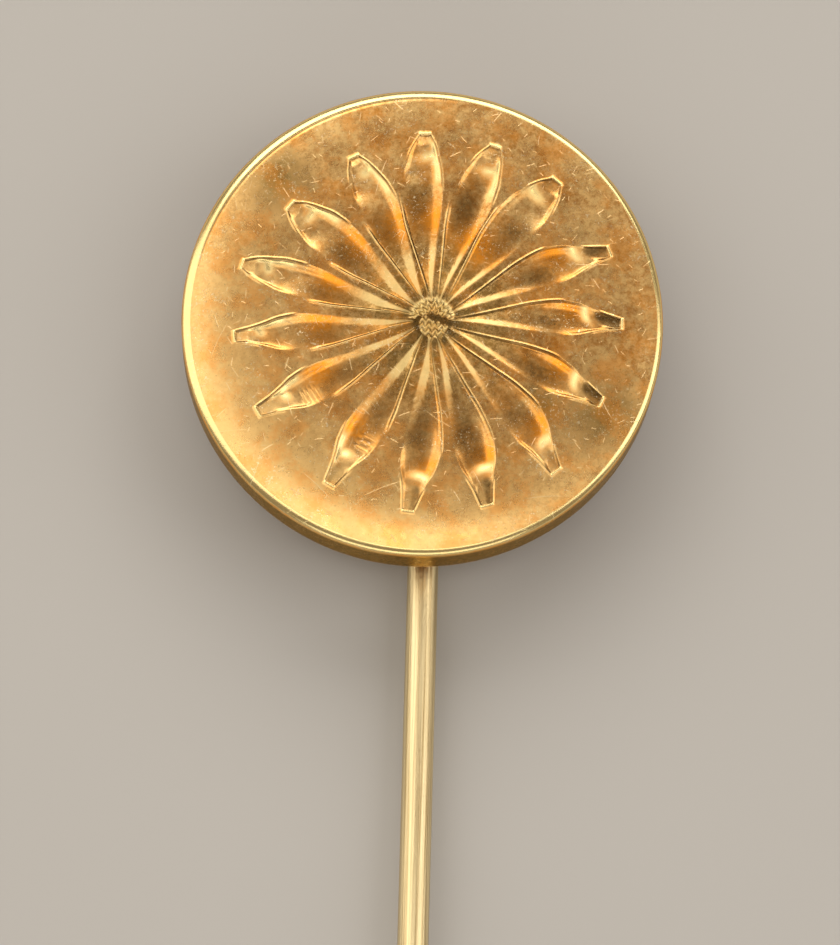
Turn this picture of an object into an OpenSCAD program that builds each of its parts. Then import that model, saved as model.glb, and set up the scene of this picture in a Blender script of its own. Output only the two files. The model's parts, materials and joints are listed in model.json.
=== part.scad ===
// Stick pin with a round engraved head and a sliding locking guard over its point.
// The stem runs along the Y axis with its point towards -Y, and the face of the head looks up, along +Z.
// The origin is on the stem's axis, level with the middle of the head.

/* [Head] */
// Diameter of the head
head_d = 14; // [12:0.5:18]
// Thickness of the head, from its face to the back of its lip
head_t = 1.8; // [1.6:0.1:2.4]
// Thickness of the rolled gold sheet that the shell is pressed from
sheet_t = 0.35; // [0.28:0.01:0.42]
// Radius of the shell's rounded front edge
edge_r = 0.3; // [0.15:0.05:0.35]
// Width of the lip that is turned in over the back plate
lip_w = 0.8; // [0.5:0.05:1.2]
// Thickness of the back plate
plate_t = 0.35; // [0.25:0.01:0.45]
// How far the head's middle sits to the left of the stem and the flower
head_shift = 0.27; // [0:0.01:0.4]

/* [Flower] */
// Distance from the flower's middle to the end of a petal of full length
petal_reach = 5.7; // [5:0.1:5.8]
// Distance from the flower's middle to the start of each petal
petal_start = 0.85; // [0.7:0.05:1]
// Width of a petal at its shoulder
petal_w = 1.26; // [1:0.02:1.3]
// Width of a petal where it is cut off at its end
petal_end_w = 0.5; // [0.4:0.02:0.6]
// Depth of a petal's scooped floor below the face
petal_depth = 0.15; // [0.1:0.01:0.2]

/* [Stem] */
// Diameter of the stem's wire
stem_d = 0.9; // [0.8:0.02:1]
// Distance from the stem's axis to the back of the head's lip
stem_standoff = 1.4; // [1.3:0.05:2]
// Distance from the middle of the head to the tip of the stem's point
stem_reach = 54; // [48:1:64]
// Length of the gentle taper before the point
taper_len = 10; // [8:0.5:12]
// Diameter of the stem where the gentle taper ends
taper_d = 0.72; // [0.64:0.02:0.78]
// Length of the sharp point
point_len = 6; // [5:0.5:7]
// Diameter of the very tip
tip_d = 0.06; // [0.04:0.01:0.1]
// Radius of the bend at the stem's foot, along the wire's middle
bend_r = 0.9; // [0.8:0.05:1.1]
// Height of the foot above the middle of the head
foot_y = 3.2; // [2.8:0.1:3.6]
// Diameter of the round pad under the foot
pad_d = 3.2; // [2.6:0.1:3.6]
// Thickness of the pad
pad_t = 0.35; // [0.28:0.01:0.42]
// Width of the solder fillet round the foot
fillet_w = 0.35; // [0.25:0.05:0.4]

/* [Guard] */
// Outer diameter of the guard's barrel and knob
guard_d = 4.4; // [4.2:0.1:5.4]
// Wall thickness of the barrel
barrel_wall = 0.35; // [0.3:0.01:0.42]
// Length of the barrel
barrel_len = 7.55; // [7.4:0.05:9]
// Thickness of the barrel's turned-in ends
barrel_lip_t = 0.3; // [0.25:0.01:0.36]
// Length of the release knob
knob_len = 4.2; // [3.9:0.1:5]
// Gap between the barrel and the knob while the balls grip
knob_gap = 0.3; // [0.2:0.05:0.4]
// How far the knob pulls out to free the balls
release_travel = 0.8; // [0.6:0.05:1]
// How far up the guard the tip of the stem lies, from the mouth
tip_depth = 10.8; // [10.5:0.1:10.9]

/* [Ball lock] */
// Diameter of each locking ball
ball_d = 0.8; // [0.7:0.02:0.84]
// Half angle of the cone that wedges the balls
cone_half_angle = 14; // [12:0.5:15]
// Distance from the guard's mouth to the middle of the balls
ball_depth = 2.1; // [2:0.05:2.2]
// Clearance between each ball and what it runs against
ball_gap = 0.02; // [0.01:0.005:0.03]
// Clearance round the stem inside the guard
bore_gap = 0.07; // [0.05:0.01:0.1]
// Length of the cone bush
bush_len = 3.05; // [2.9:0.05:3.2]
// Wall thickness of the ball cage's tail
cage_wall = 0.48; // [0.4:0.02:0.5]
// Clearance between the ball cage's nose and the cone while the balls grip
nose_gap = 0.05; // [0.03:0.01:0.08]
// Thickness of the cage's flange
flange_t = 0.4; // [0.3:0.02:0.45]
// Distance from the bush to the cage's flange while the balls grip
flange_gap = 0.15; // [0.1:0.01:0.2]
// Clearance between the flange and the barrel's bore
flange_clearance = 0.1; // [0.06:0.01:0.14]
// Thickness of the washer that holds the spring in
washer_t = 0.35; // [0.3:0.01:0.42]
// Clearance between the cage's tail and the washer
tail_gap = 0.15; // [0.08:0.01:0.2]
// Diameter of the spring's wire
spring_wire_d = 0.3; // [0.24:0.01:0.32]
// Number of the spring's turns
spring_turns = 5; // [4:1:5]

/* [Hidden] */
$fn = 64;

gold = [0.86, 0.63, 0.30];
pale_gold = [0.91, 0.74, 0.42];
brass = [0.76, 0.60, 0.33];
steel = [0.72, 0.73, 0.75];
solder_grey = [0.70, 0.66, 0.52];

fit_gap = 0.01;   // between pieces that are pressed together
cut = 0.1;        // how far a cutter runs past what it cuts

// Head, from the back upwards
head_r = head_d / 2;
lip_z = stem_standoff;
face_z = lip_z + head_t;
plate_z = lip_z + sheet_t;
core_z = plate_z + plate_t;
inside_r = head_r - sheet_t;
core_t = face_z - sheet_t - core_z;

// Flower: petals run clockwise, and each was set out by eye, so its turn and length drift
petal_turn = [-1, 1.5, 4, 1, 2, 0.5, -0.5, 1, 2, 2, -4, -3.5, -1.5, -0.5, -2];
petal_size = [0.98, 0.97, 0.97, 0.97, 0.96, 0.95, 1, 1, 1, 1, 1, 1, 1, 0.93, 0.94];
petals = len(petal_turn);
first_petal = 94.5;
scoop_half = (petal_reach - petal_start) / 2 + 0.3;
scoop_r = (pow(scoop_half, 2) + pow(petal_depth, 2)) / (2 * petal_depth);

// Stem
stem_r = stem_d / 2;
shank_end = stem_reach - taper_len - point_len;
pad_z = plate_z - pad_t;
shank_top = foot_y - bend_r;

// Guard, measured along the stem from its mouth
guard_mouth = stem_reach - tip_depth;
guard_r = guard_d / 2;
barrel_bore_r = guard_r - barrel_wall;
bore_r = stem_r + bore_gap;
ball_r = ball_d / 2;
gripped_r = stem_r - (stem_r - taper_d / 2) * (taper_len + point_len - tip_depth + ball_depth) / taper_len;
ball_ring_r = gripped_r + ball_gap + ball_r;
cone_at_ball = ball_ring_r + (ball_r + ball_gap / 2) / cos(cone_half_angle);
cage_r = bore_r + cage_wall;
bush_end = barrel_lip_t + bush_len;
flange_at = bush_end + flange_gap;
washer_at = barrel_len - barrel_lip_t - washer_t;
spring_len = washer_at - flange_at - flange_t;
spring_r = (cage_r + barrel_bore_r) / 2;
knob_at = barrel_len + knob_gap;
tail_end = knob_at + 1.5;
cage_front = ball_depth - ball_r - 0.35;

function cone_r(s) = cone_at_ball + (s - ball_depth) * tan(cone_half_angle);
nose_r = cone_r(cage_front) - nose_gap;

// A petal's outline, from its narrow start to its cut-off end, lying along +X
function petal_outline(reach) =
    let (span = reach - petal_start,
         side = [[0, 0.06], [0.28, 0.5], [0.5, 0.84], [0.68, 1], [0.8, 0.86], [1, petal_end_w / petal_w]],
         upper = [for (p = side) [petal_start + p[0] * span, p[1] * petal_w / 2]],
         count = len(upper))
    concat(upper, [for (i = [count - 1 : -1 : 0]) [upper[i][0], -upper[i][1]]]);

module petal_cutter(reach) {
    middle = (petal_start + reach) / 2;
    intersection() {
        translate([0, 0, -petal_depth - cut]) linear_extrude(petal_depth + 2 * cut) polygon(petal_outline(reach));
        translate([middle, 0, scoop_r - petal_depth]) rotate([90, 0, 0])
            cylinder(r = scoop_r, h = petal_w + 2 * cut, center = true, $fn = 180);
    }
}

// Pressed cup: engraved face, rounded edge, side wall, and the lip turned in over the back plate
module face_shell() {
    color(gold) difference() {
        translate([-head_shift, 0, 0]) rotate_extrude($fn = 180) polygon(concat(
            [[0, face_z], [0, face_z - sheet_t], [inside_r, face_z - sheet_t], [inside_r, plate_z],
             [inside_r - lip_w, plate_z], [inside_r - lip_w, lip_z], [head_r, lip_z]],
            [for (a = [0 : 15 : 90]) [head_r - edge_r * (1 - cos(a)), face_z - edge_r * (1 - sin(a))]]));
        for (i = [0 : petals - 1])
            rotate([0, 0, first_petal - i * 360 / petals + petal_turn[i]]) translate([0, 0, face_z])
                petal_cutter(petal_reach * petal_size[i]);
    }
}

module head_disc(z, thickness) {
    translate([-head_shift, 0, z]) cylinder(r = inside_r - fit_gap, h = thickness, $fn = 180);
}

// Base metal disc that fills the shell and carries the thin gold
module core_disc() {
    color(brass) head_disc(core_z, core_t);
}

// Plain disc that closes the back, held by the lip
module back_plate() {
    color(pale_gold) head_disc(plate_z, plate_t);
}

// Round foot plate, soldered to the back plate, with a hole for the wire
module stem_pad() {
    color(pale_gold) translate([0, foot_y, pad_z]) difference() {
        cylinder(d = pad_d, h = pad_t);
        translate([0, 0, -cut]) cylinder(r = stem_r + fit_gap, h = pad_t + 2 * cut);
    }
}

// One length of wire: foot, bend, straight shank, gentle taper and sharp point
module stem() {
    color(pale_gold) union() {
        translate([0, foot_y, bend_r]) cylinder(r = stem_r, h = plate_z - bend_r);
        translate([0, shank_top, bend_r]) rotate([0, 90, 0]) rotate_extrude(angle = 90)
            translate([bend_r, 0]) circle(r = stem_r, $fn = 48);
        translate([0, shank_top, 0]) rotate([90, 0, 0]) cylinder(r = stem_r, h = shank_top + shank_end);
        translate([0, -shank_end, 0]) rotate([90, 0, 0]) cylinder(r1 = stem_r, r2 = taper_d / 2, h = taper_len);
        translate([0, -shank_end - taper_len, 0]) rotate([90, 0, 0])
            cylinder(d1 = taper_d, d2 = tip_d, h = point_len);
    }
}

// Ring of solder round the foot, hollow in profile
module solder_fillet() {
    inner = stem_r + fit_gap;
    color(solder_grey) translate([0, foot_y, pad_z]) rotate_extrude() polygon(concat(
        [[inner, 0], [inner, -fillet_w]],
        [for (a = [15 : 15 : 90]) [inner + fillet_w * (1 - cos(a)), -fillet_w * (1 - sin(a))]]));
}

// Places what is drawn along +Z on the stem's axis, a distance down the guard from its mouth
module in_guard(s = 0) {
    translate([0, -guard_mouth - s, 0]) rotate([90, 0, 0]) children();
}

// Outer tube of the guard, spun in at both ends
module guard_barrel() {
    mouth_r = bore_r + 0.75;
    tail_r = cage_r + tail_gap + 0.35;
    round_r = barrel_lip_t;
    color(pale_gold) in_guard() rotate_extrude($fn = 96) polygon(concat(
        [[mouth_r, 0]],
        [for (a = [-90 : 15 : 0]) [guard_r - round_r * (1 - cos(a)), round_r * (1 + sin(a))]],
        [for (a = [0 : 15 : 90]) [guard_r - round_r * (1 - cos(a)), barrel_len - round_r * (1 - sin(a))]],
        [[tail_r, barrel_len], [tail_r, barrel_len - barrel_lip_t], [barrel_bore_r, barrel_len - barrel_lip_t],
         [barrel_bore_r, barrel_lip_t], [mouth_r, barrel_lip_t]]));
}

// Turned bush behind the mouth: a funnel for the point, and the cone that wedges the balls
module cone_bush() {
    outer = barrel_bore_r - fit_gap;
    throat_end = cage_front - 0.35;
    color(brass) in_guard() rotate_extrude() polygon([
        [bore_r + 0.4, barrel_lip_t], [outer, barrel_lip_t], [outer, bush_end], [cone_r(bush_end), bush_end],
        [cone_r(throat_end), throat_end], [bore_r, throat_end], [bore_r, barrel_lip_t + 0.35]]);
}

// Washer that holds the spring in, behind the barrel's turned-in end
module retaining_washer() {
    color(brass) in_guard(washer_at) difference() {
        cylinder(r = barrel_bore_r - fit_gap, h = washer_t);
        translate([0, 0, -cut]) cylinder(r = cage_r + tail_gap, h = washer_t + 2 * cut);
    }
}

// A spring's middle line: flat for half a turn at each end and rising evenly between
function coil_point(turn, radius, height, turns) =
    [radius * cos(360 * turn), radius * sin(360 * turn),
     height * min(max((turn - 0.5) / (turns - 1), 0), 1)];

// Compression spring that pushes the cage towards the mouth
module grip_spring() {
    steps = 20;
    sides = 8;
    wire_r = spring_wire_d / 2;
    rise = spring_len - spring_wire_d - 0.02;
    line = [for (i = [0 : spring_turns * steps]) coil_point(i / steps, spring_r, rise, spring_turns)];
    rings = len(line);
    points = [for (i = [0 : rings - 1], k = [0 : sides - 1])
        let (turn = 360 * i / steps, a = 360 * k / sides, out = spring_r + wire_r * cos(a))
        [out * cos(turn), out * sin(turn), line[i][2] + wire_r * sin(a)]];
    walls = [for (i = [0 : rings - 2], k = [0 : sides - 1])
        let (n = (k + 1) % sides)
        [i * sides + k, i * sides + n, (i + 1) * sides + n, (i + 1) * sides + k]];
    ends = [[for (k = [sides - 1 : -1 : 0]) k], [for (k = [0 : sides - 1]) (rings - 1) * sides + k]];
    color(steel) in_guard(flange_at + flange_t + wire_r + 0.01) polyhedron(points, concat(walls, ends));
}

// Tube that carries the balls in three holes, with the flange that the spring pushes and the knob's tail
module ball_cage() {
    color(brass) difference() {
        in_guard() rotate_extrude() polygon([
            [bore_r, cage_front], [nose_r, cage_front], [nose_r, flange_at],
            [barrel_bore_r - flange_clearance, flange_at], [barrel_bore_r - flange_clearance, flange_at + flange_t],
            [cage_r, flange_at + flange_t], [cage_r, tail_end], [bore_r, tail_end]]);
        for (i = [0 : 2])
            in_guard(ball_depth) rotate([0, 90, 90 + 120 * i])
                cylinder(r = ball_r + ball_gap, h = nose_r + cut, $fn = 32);
    }
}

// Knob with a closed, domed end that covers the point, pressed on the cage's tail
module release_knob() {
    point_hole_end = tip_depth + 0.4 - knob_at;
    socket = tail_end - knob_at;
    dome = 1.3;
    groove = 0.12;
    color(pale_gold) in_guard(knob_at) difference() {
        rotate_extrude($fn = 96) polygon(concat(
            [[cage_r + fit_gap, 0], [guard_r - groove, 0]],
            [for (i = [0 : 2], p = [[0, 0.3], [groove, 0.42], [groove, 0.62], [0, 0.74]])
                [guard_r - groove + p[0], p[1] + 0.56 * i]],
            [[guard_r, 2.1]],
            [for (a = [0 : 10 : 90]) [guard_r * cos(a), knob_len - dome * (1 - sin(a))]],
            [[0, point_hole_end], [bore_r + 0.1, point_hole_end], [bore_r + 0.1, socket],
             [cage_r + fit_gap, socket]]));
    }
}

// One of the three balls, numbered from the top of the guard
module locking_ball(i) {
    color(steel) in_guard(ball_depth) rotate([0, 0, 120 * (i - 1)]) translate([0, ball_ring_r, 0])
        sphere(r = ball_r, $fn = 48);
}

face_shell();
core_disc();
back_plate();
stem_pad();
stem();
solder_fillet();
guard_barrel();
cone_bush();
retaining_washer();
grip_spring();
ball_cage();
release_knob();
locking_ball(1);  // locking_ball_1
locking_ball(2);  // locking_ball_2
locking_ball(3);  // locking_ball_3
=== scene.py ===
"""The finished surfaces of a stick pin with a hand-engraved round head and a ball-locking guard."""
import json
import math

import bmesh
import bpy
import numpy as np
from mathutils import Matrix, Vector, noise


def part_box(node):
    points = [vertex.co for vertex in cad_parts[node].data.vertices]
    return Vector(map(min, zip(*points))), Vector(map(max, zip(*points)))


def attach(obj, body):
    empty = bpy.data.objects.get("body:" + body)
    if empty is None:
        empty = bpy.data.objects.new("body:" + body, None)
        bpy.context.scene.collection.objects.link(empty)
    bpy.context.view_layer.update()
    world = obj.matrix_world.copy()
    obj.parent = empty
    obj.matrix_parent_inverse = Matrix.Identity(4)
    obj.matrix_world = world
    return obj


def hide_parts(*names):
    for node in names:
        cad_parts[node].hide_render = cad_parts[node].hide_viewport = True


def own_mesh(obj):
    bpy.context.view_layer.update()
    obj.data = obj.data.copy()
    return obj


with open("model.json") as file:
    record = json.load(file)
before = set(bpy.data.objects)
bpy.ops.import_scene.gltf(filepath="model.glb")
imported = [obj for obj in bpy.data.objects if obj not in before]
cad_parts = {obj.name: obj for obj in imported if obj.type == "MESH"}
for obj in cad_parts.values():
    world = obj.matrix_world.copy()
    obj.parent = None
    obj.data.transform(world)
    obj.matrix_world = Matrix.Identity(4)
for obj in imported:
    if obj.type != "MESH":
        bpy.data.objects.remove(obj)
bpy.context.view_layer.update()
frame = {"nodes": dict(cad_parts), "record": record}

MM = 0.001

# ---- Where the pin is looked at from -------------------------------------------------------------
# The pin lies face up and is seen from above its stem, close enough for the stem to run out of view.
view_azimuth = math.radians(-5.0)
view_elevation = math.radians(76.2)
view_roll = math.radians(6.7)
view_distance = 150 * MM
view_aim = Vector((-0.23, -4.6, 3.2)) * MM

camera = bpy.data.objects.new("viewer", bpy.data.cameras.new("viewer"))
camera.data.lens = 198.5
camera.data.clip_start = 1 * MM
camera.data.clip_end = 10
towards_viewer = Vector((
    math.sin(view_azimuth) * math.cos(view_elevation),
    -math.cos(view_azimuth) * math.cos(view_elevation),
    math.sin(view_elevation)))
camera.matrix_world = (
    Matrix.Translation(view_aim + view_distance * towards_viewer)
    @ towards_viewer.to_track_quat("Z", "Y").to_matrix().to_4x4()
    @ Matrix.Rotation(view_roll, 4, "Z"))
bpy.context.scene.collection.objects.link(camera)
bpy.context.scene.camera = camera

# ---- Core of the head ----------------------------------------------------------------------------
# A blanked disc of brass that carries the thin gold and gives the head its weight.
# It is punched from sheet and stays hidden once the shell is pressed over it.


def add_node(tree, kind, values=None, links=None, **options):
    """One shader node: its options, its own numbers, and the sockets that feed it."""
    node = tree.nodes.new(kind)
    for name, value in options.items():
        setattr(node, name, value)
    for socket, value in (values or {}).items():
        node.inputs[socket].default_value = value
    for socket, source in (links or {}).items():
        tree.links.new(source, node.inputs[socket])
    return node


def mixed(tree, share, first, second):
    """One colour turning into another; each is a plain colour or another node's output."""
    node = add_node(tree, "ShaderNodeMix", None, {"Factor": share}, data_type="RGBA")
    for end, colour in (("A", first), ("B", second)):
        socket = next(s for s in node.inputs if s.name == end and s.type == "RGBA")
        if isinstance(colour, tuple):
            socket.default_value = (*colour, 1)
        else:
            tree.links.new(colour, socket)
    return next(s for s in node.outputs if s.type == "RGBA")


def metal(name, colour, dark_colour, roughness, patch_mm, patch_share, grain_mm, bump_mm, bump_strength):
    """A worn metal: two tones in soft patches, and a fine bump stretched along the way it was worked.

    patch_mm and grain_mm are the sizes along X, Y and Z of one patch and of one tool mark."""
    finish = bpy.data.materials.new(name)
    finish.use_nodes = True
    tree = finish.node_tree
    shader = tree.nodes["Principled BSDF"]
    shader.inputs["Metallic"].default_value = 1.0
    place = add_node(tree, "ShaderNodeTexCoord").outputs["Object"]

    def stretched_noise(sizes_mm, detail, unevenness):
        spread = add_node(tree, "ShaderNodeMapping", {"Scale": [1 / (size * MM) for size in sizes_mm]},
                          {"Vector": place})
        return add_node(tree, "ShaderNodeTexNoise", {"Scale": 1.0, "Detail": detail, "Roughness": unevenness},
                        {"Vector": spread.outputs["Vector"]}).outputs["Fac"]

    share = add_node(tree, "ShaderNodeMapRange",
                     {"From Min": 0.62 - patch_share, "From Max": 0.8 - patch_share * 0.5},
                     {"Value": stretched_noise(patch_mm, 5.0, 0.6)})
    tree.links.new(mixed(tree, share.outputs["Result"], colour, dark_colour), shader.inputs["Base Color"])
    strokes = stretched_noise(grain_mm, 4.0, 0.65)
    sheen = add_node(tree, "ShaderNodeMapRange", {"To Min": roughness * 0.75, "To Max": roughness * 1.35},
                     {"Value": strokes})
    tree.links.new(sheen.outputs["Result"], shader.inputs["Roughness"])
    relief = add_node(tree, "ShaderNodeBump", {"Strength": bump_strength, "Distance": bump_mm * MM},
                      {"Height": strokes})
    tree.links.new(relief.outputs["Normal"], shader.inputs["Normal"])
    return finish


def dress(node, finish):
    """Gives a CAD node its finish."""
    materials = frame["nodes"][node].data.materials
    materials.clear()
    materials.append(finish)


turned_brass = metal("turned_brass", (0.78, 0.56, 0.27), dark_colour=(0.52, 0.33, 0.15), roughness=0.3,
                     patch_mm=(0.8, 0.8, 0.8), patch_share=0.1,
                     grain_mm=(0.9, 0.03, 0.9), bump_mm=0.004, bump_strength=0.6)
dress("core_disc", turned_brass)

# ---- Engraved head shell -------------------------------------------------------------------------
# Rolled gold sheet pressed into a shallow cup, with its edge rolled round and its lip turned in behind.
# The flower was cut by hand with a flat graver: each petal has a steep wall on one side, a scooped floor
# that starts as a hair line, and a short level step where the tool was driven in at the tip.

petal_count = 15
first_petal = 94.5
# one entry for each petal, clockwise from the top: its turn in degrees, its length, its width, how far its
# middle bows anticlockwise in millimetres, and the side the tool leaned on past the middle, with 1 for
# anticlockwise
petal_turn = [-1, 1.5, 4, 1, 2, 0.5, -0.5, 1, 2, 2, -4, -3.5, -1.5, -0.5, -2]
petal_size = [0.98, 0.97, 0.97, 0.97, 0.96, 0.95, 1, 1, 1, 1, 1, 1, 1, 0.93, 0.94]
petal_width = [1.02, 1.0, 1.15, 0.97, 0.88, 0.93, 1.0, 1.0, 0.97, 0.95, 0.95, 0.93, 0.92, 1.12, 0.98]
petal_bow = [0.16, 0.1, 0.08, 0.2, 0.13, 0.1, 0.22, 0.1, 0.15, 0.05, 0.1, 0.06, 0.0, -0.03, -0.02]
petal_lean = [-1, -1, 1, 1, 1, 1, 1, 1, 1, -1, -1, -1, -1, -1, -1]
# where the step at the tip begins, how dark it is painted as shade, how far its start slants across, and
# where orange gathers, partly tarnish and partly a painted glow
step_start = [0.94, 0.92, 0.93, 0.89, 0.87, 0.89, 0.91, 0.87, 0.87, 0.88, 0.9, 0.93, 0.93, 0.94, 0.96]
step_shade = [0.4, 0.7, 0.7, 0.85, 0.95, 0.95, 0.5, 0.9, 0.75, 0.6, 0.3, 0.3, 0.45, 0.6, 0.3]
step_slant = [0, 0, 0, 0.04, 0.045, 0.045, 0.03, 0.02, 0, 0, 0, 0, 0, 0, 0]
warm_place = [0.5, 0.42, 0.4, 0.7, 0.72, 0.7, 0.76, 0.76, 0.78, 0.66, 0.6, 0.52, 0.5, 0.55, 0.52]
# how wide the facet is that each petal starts with, in millimetres; it is freshly cut and painted bright as a
# highlight
petal_facet = [0.2, 0.15, 0.15, 0.2, 0.17, 0.15, 0.17, 0.2, 0.28, 0.3, 0.2, 0.22, 0.3, 0.32, 0.3]
# the petals with a rounder end, and two where the tool chattered, with the millimetres between its marks
round_petals = (0, 1, 2, 12, 13, 14)
chatter_pitch = {9: 0.2, 10: 0.14}
chatter_height = 0.013 * MM
petal_reach = 5.7 * MM
petal_start = 0.56 * MM
wall_width = 0.045 * MM
burr_start = 0.004 * MM
burr_width = 0.028 * MM
burr_spread = 0.05 * MM
burr_height = 0.022 * MM
face_margin = 0.03 * MM

shell_low, shell_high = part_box("face_shell")
head_middle = (shell_low + shell_high) / 2
head_r = (shell_high.x - shell_low.x) / 2
crown_clearance = 0.03 * MM
face_z = shell_high.z - crown_clearance


def smooth_through(points, x):
    """A smooth line through given points, with no overshoot between them."""
    px, py = np.array(points, float).T
    slope = np.diff(py) / np.diff(px)
    bend = np.zeros(len(px))
    same_way = slope[:-1] * slope[1:] > 0
    bend[1:-1][same_way] = 2 * (slope[:-1] * slope[1:])[same_way] / (slope[:-1] + slope[1:])[same_way]
    bend[0], bend[-1] = slope[0], slope[-1]
    i = np.clip(np.searchsorted(px, x) - 1, 0, len(px) - 2)
    span = px[i + 1] - px[i]
    t = (x - px[i]) / span
    return ((1 + 2 * t) * (1 - t) ** 2 * py[i] + t * (1 - t) ** 2 * span * bend[i]
            + t * t * (3 - 2 * t) * py[i + 1] + t * t * (t - 1) * span * bend[i + 1])


def soft_step(low, high, x):
    """0 below low, 1 above high, and smooth between."""
    t = np.clip((x - low) / (high - low), 0, 1)
    return t * t * (3 - 2 * t)


def soft_band(start, full, fade, end, x):
    """Rises from 0 at start to 1 at full, and falls from 1 at fade to 0 at end."""
    return soft_step(start, full, x) * (1 - soft_step(fade, end, x))


def hump(middle, spread, x):
    """1 at the middle, and less and less to both sides of it."""
    return np.exp(-((x - middle) / spread) ** 2)


# along a petal, from its start at 0 to its tip at 1: half its width, and the depth of the gully that it
# starts with; then, from its start at 0 to the step at its tip at 1, the depth of its bowl; in millimetres
half_width_mm = [(0, 0.03), (0.12, 0.13), (0.3, 0.31), (0.5, 0.52), (0.65, 0.6), (0.75, 0.54),
                 (0.84, 0.38), (0.91, 0.27), (1, 0.17)]
round_width_mm = [(0, 0.03), (0.12, 0.13), (0.3, 0.31), (0.5, 0.51), (0.65, 0.58), (0.76, 0.56),
                  (0.86, 0.45), (0.94, 0.32), (1, 0.16)]
gully_mm = [(0, 0.015), (0.1, 0.035), (0.3, 0.06), (0.5, 0.075), (0.65, 0.07), (1, 0.04)]
bowl_mm = [(0, 0.0), (0.3, 0.03), (0.5, 0.06), (0.7, 0.08), (0.88, 0.1), (0.98, 0.03), (1, 0.032)]

# the places along a petal and across its floor where points are set, closer where the shape turns quickly;
# and past its tip, how far out each ring lies in millimetres and how much of the burr's height it has
along = np.concatenate([np.linspace(0, 0.65, 44, endpoint=False), np.linspace(0.65, 0.76, 24, endpoint=False),
                        np.linspace(0.76, 1, 42)])
floor_shares = np.array([-1, -0.9, -0.76, -0.6, -0.42, -0.24, -0.08, 0.08, 0.24, 0.42, 0.6, 0.76, 0.9, 1])
tip_rings = [(0.022, 0.35), (0.045, 1.0), (0.07, 0.7), (0.11, 0.0)]
tip_flare = 1.02
gap_columns = 5
hand = np.random.default_rng(15)


def raised_burr(side, width, strength, line_shade):
    """One edge of a petal, from its wall out to plain face; side is 1 at its left and -1 at its right.

    Each line of points has its place across, height, freshness and painted highlight, orange tarnish and
    painted glow, and grime and painted shade. The crest is painted bright as a highlight, and the line inside
    it dark as the wall's shade."""
    none = 0 * width
    foot = width + burr_spread * np.minimum(1, width / (0.2 * MM))
    return [(side * (width + burr_start), 0.6 * burr_height * strength, none, none, line_shade * strength),
            (side * (width + burr_width), burr_height * strength, strength, none, none),
            (side * foot, none, none, none, none),
            (side * (foot + face_margin), none, none, none, none)]


def floor_line(number, share, width, depth_scale):
    """One line along a petal's floor, at a share of the way across it, from -1 at its right to 1 at its left.

    It gives the line's height, how freshly cut and painted bright as a highlight it is, its orange tarnish
    and painted glow, and its grime and painted shade."""
    lean, step = petal_lean[number], step_start[number]
    on_side = share * lean
    # the gully that the petal starts with, and the facet along its right edge, painted bright as a highlight
    gully = smooth_through(gully_mm, along) * MM * depth_scale
    facet_width = petal_facet[number] * MM
    facet_end = np.minimum(min(6 * petal_facet[number], 1.5), facet_width / width)
    facet_depth = np.minimum(0.6 * gully, 0.2 * facet_width)
    past_facet = np.clip((share + 1 - facet_end) / (2 - facet_end), 0, 1)
    start_floor = facet_depth * np.clip((share + 1) / facet_end, 0, 1) + (gully - facet_depth) * past_facet
    facet = 0.75 * (share + 1 < facet_end) * (1 - soft_step(0.25, 0.45, along))
    # the bowl, deepest on the side that the tool leaned on, and the step that ends it
    step_here = step - step_slant[number] * on_side + 0.03 * (share ** 2 - 0.5)
    on_step = soft_step(step_here - 0.01, step_here + 0.03, along)
    feather = 1.15 - 0.85 * soft_step(0.66, 0.84, along / step)
    edge_left = 0.45 if lean > 0 else 0.3 + 0.15 * soft_step(0.66, 0.76, along)
    bowl = smooth_through(bowl_mm, np.minimum(1, along / step_here)) * MM * depth_scale
    bowl *= np.clip((on_side + 1) / 1.5, 0, 1) ** feather
    bowl *= 1 - (1 - edge_left) * soft_step(0.5, 1.0, on_side)
    step_depth = (0.03 + 0.035 * (along - step) / (1 - step)) * MM
    in_bowl = soft_step(0.38, 0.64, along)
    floor = (1 - on_step) * ((1 - in_bowl) * start_floor + in_bowl * bowl) + on_step * step_depth
    # the bowl's end and its deep side are painted bright as highlights, a painted orange glow, partly
    # tarnish, lies before them, and the step and the middle of the bowl are painted dark as shade
    bright_end = hump(0.94, 0.05, along / step_here) * (1 - on_step) * soft_step(-0.9, 0.2, on_side)
    side_band = soft_step(0.45, 0.8, on_side) * soft_step(0.66, 0.74, along) * (1 - on_step) * (lean < 0)
    bright = np.maximum(bright_end, side_band)
    orange = hump(warm_place[number], 0.11, along) * (0.5 + 0.5 * soft_step(-0.4, 0.3, on_side))
    on_foot = step_shade[number] * on_step * (0.5 + 0.5 * soft_step(-0.3, 0.5, on_side))
    shade = (0.4 + 0.5 * step_shade[number]) * hump(0.6, 0.2, along)
    shade = shade * soft_band(-1.2, -0.4, 0.1, 0.6, on_side)
    return (-floor, np.maximum(facet, 0.9 * bright), orange * (1 - on_step) * (1 - 0.8 * bright),
            np.maximum(on_foot, shade * (1 - bright)))


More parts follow.
